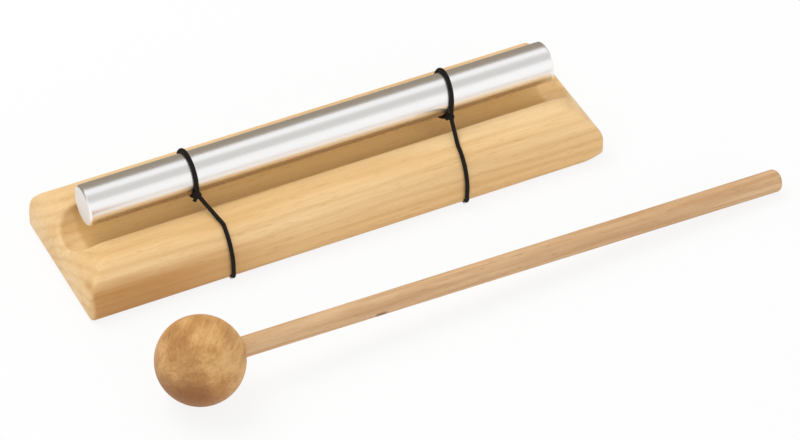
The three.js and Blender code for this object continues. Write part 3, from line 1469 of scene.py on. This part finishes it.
@dataclass
class Mallet:
    """The turned ball and its stick, which lie in front of the base.

    The ball has a small flat where the stick goes in, and its bore is wider than the stick by the fit.
    """

    ball_finish: WoodFinish
    stick_finish: WoodFinish
    ball_diameter: float = 26.4
    ball_flat: float = 0.6
    bore_depth: float = 17
    neck_diameter: float = 6.2
    hand_diameter: float = 7
    hand_round: float = 1.6
    reach: float = 193
    ball_place: Point = (-67.8, -65.7, 13.2)
    yaw: float = 1.7
    fit: float = 0.08
    mouth_round: float = 0.15
    ball_sides: int = 144
    stick_sides: int = 72
    shank_rings: int = 60

    @property
    def bore(self) -> float:
        """The radius of the ball's bore."""
        return self.neck_diameter / 2 + self.fit

    @property
    def mouth(self) -> float:
        """From the ball's middle to the flat where the stick goes in."""
        return math.sqrt((self.ball_diameter / 2) ** 2 - (self.bore + self.ball_flat) ** 2)

    def place(self) -> Matrix:
        """Where the mallet's own frame lies, its X along the stick.

        Returns:
            The matrix in metres.
        """
        drop = (self.ball_diameter - self.hand_diameter) / 2
        pitch = math.asin(drop / (self.reach - self.hand_round))
        turn = Matrix.Rotation(math.radians(self.yaw), 4, "Z") @ Matrix.Rotation(pitch, 4, "Y")
        return Matrix.Translation(Vector(self.ball_place) * MM) @ turn

    def ball(self) -> bpy.types.Object:
        """Makes the ball, whose grain runs its own way.

        Returns:
            The piece.
        """
        radius, bore, mouth, ease = self.ball_diameter / 2, self.bore, self.mouth, self.mouth_round
        edge = bore + self.ball_flat
        flat_angle = math.degrees(math.atan2(edge, mouth))
        sphere = arc((0, 0), radius, 180, flat_angle, self.ball_sides // 2)
        floor = mouth - self.bore_depth
        inside = [(mouth, edge - ease), (mouth, bore + ease), (mouth - ease, bore), (floor, bore), (floor, 0)]
        profile = [(-radius, 0.0), *map(tuple, sphere[1:]), *inside]
        mesh = turned_mesh(profile, self.ball_sides).turned(self.place().to_3x3().to_4x4())
        centre = Matrix.Translation(Vector(self.ball_place) * MM)
        piece = add_piece("mallet_ball", mesh, self.ball_finish.material(), matrix=centre)
        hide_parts("mallet_head")
        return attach(piece, "mallet")

    def stick(self) -> bpy.types.Object:
        """Makes the stick, from its seat in the ball to its rounded hand end.

        Returns:
            The piece.
        """
        mouth, neck, hand = self.mouth, self.neck_diameter / 2, self.hand_diameter / 2
        seat = mouth - self.bore_depth + self.fit
        places = [seat, *np.linspace(mouth, self.reach - self.hand_round - 0.5, self.shank_rings)]
        shank = [(x, neck + (hand - neck) * max(x - mouth, 0) / (self.reach - mouth)) for x in places]
        end = arc((self.reach - self.hand_round, hand - self.hand_round), self.hand_round, 90, 0, 10)
        mesh = turned_mesh([(seat, 0.0), *shank, *map(tuple, end), (self.reach, 0.0)], self.stick_sides)
        finish = self.stick_finish.material()
        piece = add_piece("mallet_stick_turned", mesh, finish, matrix=self.place())
        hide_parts("mallet_stick")
        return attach(piece, "mallet")

    def build(self) -> list[bpy.types.Object]:
        """Makes both pieces."""
        return [self.ball(), self.stick()]


@dataclass(frozen=True)
class Card:
    """A studio card that only shows in gloss; its size and middle are in metres, its tilt in degrees."""

    name: str
    colour: Colour
    middle: Point
    size: tuple[float, float]
    tilt: float

    def build(self) -> bpy.types.Object:
        """Makes the card.

        Returns:
            The stage object.
        """
        material, graph = new_material(self.name)
        glow = graph.node("ShaderNodeEmission", sockets={"Color": self.colour, "Strength": 1.0})
        graph.node("ShaderNodeOutputMaterial", sockets={"Surface": glow})
        card = flat_sheet(self.name, self.size[0] / 2, self.size[1] / 2, material)
        card.matrix_world = Matrix.Translation(self.middle) @ Matrix.Rotation(math.radians(self.tilt), 4, "X")
        for kind in ("camera", "diffuse", "transmission", "volume_scatter", "shadow"):
            setattr(card, f"visible_{kind}", False)
        return card


@dataclass(frozen=True)
class Softbox:
    """A rectangular lamp; sizes and places in metres."""

    name: str
    place: Point
    aim: Point
    size: tuple[float, float]
    power: float

    def build(self) -> None:
        """Hangs the lamp."""
        lamp = bpy.data.lights.new(self.name, "AREA")
        lamp.shape = "RECTANGLE"
        lamp.size, lamp.size_y = self.size
        lamp.energy = self.power
        hung = link_object(self.name, lamp)
        hung.location = self.place
        hung.rotation_euler = (Vector(self.aim) - Vector(self.place)).to_track_quat("-Z", "Y").to_euler()
        hung.visible_camera = False
        hung.visible_glossy = False


@dataclass
class Studio:
    """The pale floor and the light; the floor is left dark at the mouths of the base's kerfs.

    The floor's half and drop are in metres, and the slots in millimetres.
    """

    floor_half: float = 6.0
    floor_drop: float = 0.00005
    floor_grey: float = 0.86
    dome: float = 0.62
    backdrop_share: float = 0.86
    slots: tuple[float, float] = BaseBlock.kerfs
    slot_width: float = 1.1
    slot_soft: float = 0.1
    softboxes: list[Softbox] = field(default_factory=list)
    cards: list[Card] = field(default_factory=list)

    def seen_directly(self, graph: Graph) -> Signal:
        """1 for rays from the camera, from gloss and through glass, and 0 for light that falls on things.

        Args:
            graph: the node tree.

        Returns:
            The mask.
        """
        camera = graph.node("ShaderNodeLightPath", output="Is Camera Ray")
        outputs = camera.socket.node.outputs
        gloss, glass = Signal(graph, outputs["Is Glossy Ray"]), Signal(graph, outputs["Is Transmission Ray"])
        return (camera + gloss + glass).rise(0.0, 1.0)

    def floor(self) -> bpy.types.Object:
        """Lays the floor, which keeps a soft shadow.

        Returns:
            The floor.
        """
        material, graph = new_material("pale floor")
        grey = (self.floor_grey,) * 3 + (1.0,)
        paper = graph.node("ShaderNodeBsdfDiffuse", sockets={"Color": grey})
        white = graph.node("ShaderNodeEmission", sockets={"Color": (1, 1, 1, 1), "Strength": 1.0})
        x, y, _ = graph.axes(graph.place())
        reach, half_slot = BaseBlock.width / 2, self.slot_width / 2
        outer = half_slot + self.slot_soft
        mouths = sum(((x - slot) ** 2).rise(outer**2, half_slot**2) for slot in self.slots)
        under = mouths * y.rise(-reach, 1 - reach) * y.rise(1, 0)
        share = self.seen_directly(graph) * self.backdrop_share * (1 - under)
        mixed = graph.node("ShaderNodeMixShader", sockets={0: share, 1: paper, 2: white})
        graph.node("ShaderNodeOutputMaterial", sockets={"Surface": mixed})
        floor = flat_sheet("floor", self.floor_half, self.floor_half, material)
        floor.location.z = -self.floor_drop
        return floor

    def world(self) -> None:
        """Sets a plain white surrounding that lights softly."""
        world = bpy.data.worlds.new("studio")
        world.use_nodes = True
        bpy.context.scene.world = world
        graph = Graph(world.node_tree)
        level = self.seen_directly(graph) * (1 - self.dome) + self.dome
        light = graph.node("ShaderNodeBackground", sockets={"Color": (1, 1, 1, 1), "Strength": level})
        graph.node("ShaderNodeOutputWorld", sockets={"Surface": light})

    def build(self) -> None:
        """Sets up the floor, world, lamps and cards."""
        self.floor()
        self.world()
        for softbox in self.softboxes:
            softbox.build()
        for card in self.cards:
            card.build()
        bpy.context.scene.view_settings.view_transform = "Standard"


@dataclass(frozen=True)
class PhotoCamera:
    """The photograph's viewpoint, found from the base's and rod's outlines in its 800 x 440 frame.

    Its place is in millimetres, its angles in degrees, and where it starts and stops seeing in metres.
    """

    place: Point = (-387.14, -850.0, 815.57)
    azimuth: float = -25.99
    elevation: float = 41.56
    lens: float = 184.71
    sensor: float = 36.0
    nearest: float = 0.05
    farthest: float = 50

    def build(self) -> None:
        """Makes the camera and gives it to the scene."""
        data = bpy.data.cameras.new("photo")
        data.lens, data.sensor_width, data.sensor_fit = self.lens, self.sensor, "HORIZONTAL"
        data.clip_start, data.clip_end = self.nearest, self.farthest
        camera = link_object("photo", data)
        camera.location = Vector(self.place) * MM
        camera.rotation_euler = (math.radians(90 - self.elevation), 0, math.radians(self.azimuth))
        bpy.context.scene.camera = camera


def chime_bar() -> None:
    """Builds the base, rod and cords."""
    wood = WoodFinish(
        name="oiled hardwood",
        pale=srgb(244, 210, 156),
        warm=srgb(234, 192, 132),
        deep=srgb(212, 163, 98),
        pore=srgb(164, 116, 66),
        fibre_share=0.32,
        heart=(-38, -52),
        roughness=0.5,
        coat=0.06,
        tints_and_painted_shade=(
            Tint(  # the darker front, towards the left
                srgb(198, 142, 74),
                low=(-84.3, -60, -60), high=(-14, -16.5, 13.2),
                soft_low=(1.6, 3, 3), soft_high=(52, 3, 4.6), ragged=1.5,
            ),
            Tint(  # painted shade in the groove, under the rod
                srgb(213, 171, 106),
                low=(-77, -9.6, 6), high=(77, 9.6, 15.9),
                soft_low=(2, 0.3, 0.7), soft_high=(2, 0.3, 0.7),
            ),
        ),
    )
    metal = MetalFinish("polished aluminium", srgb(251, 251, 251), 0.3, end_place=ChimeRod.length / 2)
    elastic = ElasticFinish("woven elastic", srgb(8, 6, 5), srgb(30, 24, 20))
    base = BaseBlock(wood)
    log.info("base: %s", base.build().name)
    rod = ChimeRod(metal)
    log.info("rod: %s", rod.build().name)
    cords = [
        CordLoop(
            Side.LEFT, elastic, base, rod,
            knot_out=0.75, crest_out=0.5, under_out=-0.7, shoulder=-2.65, foot=-2.1,
            knot_angle=200, knot_standoff=0.75, tail=(1.2, -0.4, -1.75),
            hold_start=(-12.5, 18.0), hold_end=(-7.5, 20.1),
        ),
        CordLoop(
            Side.RIGHT, elastic, base, rod,
            knot_out=-1.4, crest_out=0.45, under_out=-3.1, shoulder=-3.9, foot=-5.2,
            knot_angle=208, knot_standoff=0.8, tail=(-1.6, 0.1, -0.7),
            hold_start=(-11.3, 17.7), hold_end=(-6.9, 19.0),
        ),
    ]
    for cord in cords:
        log.info("%s: %s", cord.name, ", ".join(piece.name for piece in cord.build()))


def ball_mallet() -> None:
    """Builds the ball and the stick."""
    ball = WoodFinish(
        name="turned ball wood",
        pale=srgb(222, 174, 110),
        warm=srgb(200, 147, 84),
        deep=srgb(160, 106, 50),
        pore=srgb(120, 74, 36),
        heart=(3.5, -2.0),
        ring_spacing=2.9,
        ring_share=0.14,
        fibre_share=0.5,
        band_size=(9, 4.5, 4.5),
        tints_and_painted_shade=(
            Tint(  # the lower half
                srgb(158, 99, 40),
                low=(-40, -40, -40), high=(9, 6, 5),
                soft_low=(9, 5, 8), soft_high=(11, 5, 9), ragged=2.0,
            ),
            Tint(  # the dark patch at the lower left
                srgb(138, 80, 22),
                low=(-14.5, -20, -7), high=(0, 0, 4.5),
                soft_low=(5, 2, 5), soft_high=(5, 2, 4.5), ragged=2.0, strength=0.85,
            ),
            Tint(  # the dark band left of the middle
                srgb(146, 90, 36),
                low=(-11.5, -40, -40), high=(-1.5, 8, 40),
                soft_low=(3.5, 1, 1), soft_high=(4, 5, 1), strength=0.4,
            ),
            Tint(  # the pale band right of the middle
                srgb(238, 192, 130),
                low=(-1, -40, 2), high=(8, -4, 11),
                soft_low=(4, 1, 4), soft_high=(4, 4, 4), ragged=2.0, strength=0.42,
            ),
        ),
        grain=(-0.62, -0.77, 0.14),
        seed=40,
        roughness=0.56,
    )
    stick = WoodFinish(
        name="stick wood",
        pale=srgb(222, 186, 142),
        warm=srgb(208, 168, 122),
        deep=srgb(178, 126, 82),
        pore=srgb(134, 84, 50),
        heart=(9, -14),
        ring_spacing=1.9,
        ring_share=0.3,
        band_size=(60, 4, 4),
        tints_and_painted_shade=(
            Tint(  # a small knot in the wood
                srgb(124, 78, 44),
                low=(54.2, -10, -10), high=(58.8, -0.2, 0.2),
                soft_low=(1.3, 1, 1), soft_high=(1.3, 1, 1), ragged=0.5,
            ),
        ),
        seed=70,
        roughness=0.58,
    )
    for piece in Mallet(ball, stick).build():
        log.info("mallet: %s", piece.name)


def plain_studio() -> None:
    """Sets up the light, the floor and the camera."""
    dark, grey = srgb(153, 141, 125), srgb(211, 208, 205)
    Studio(
        softboxes=[
            Softbox("key", (-0.3, 0.5, 1.1), (0, 0, 0), (0.9, 0.7), 8.5),
            Softbox("front", (0.35, -1.3, 0.5), (0, 0, 0.02), (1.4, 0.6), 4.2),
        ],
        cards=[
            Card("dark card", dark, (0, 0.06, 0.059), (1.0, 0.118), 90),
            Card("grey card", grey, (0, -0.32, 0.62), (2.4, 0.6), 0),
        ],
    ).build()
    PhotoCamera().build()


def main() -> None:
    """Builds everything."""
    logging.basicConfig(level=logging.INFO, format="%(name)s: %(message)s")
    chime_bar()
    ball_mallet()
    plain_studio()


if __name__ == "__main__":
    main()
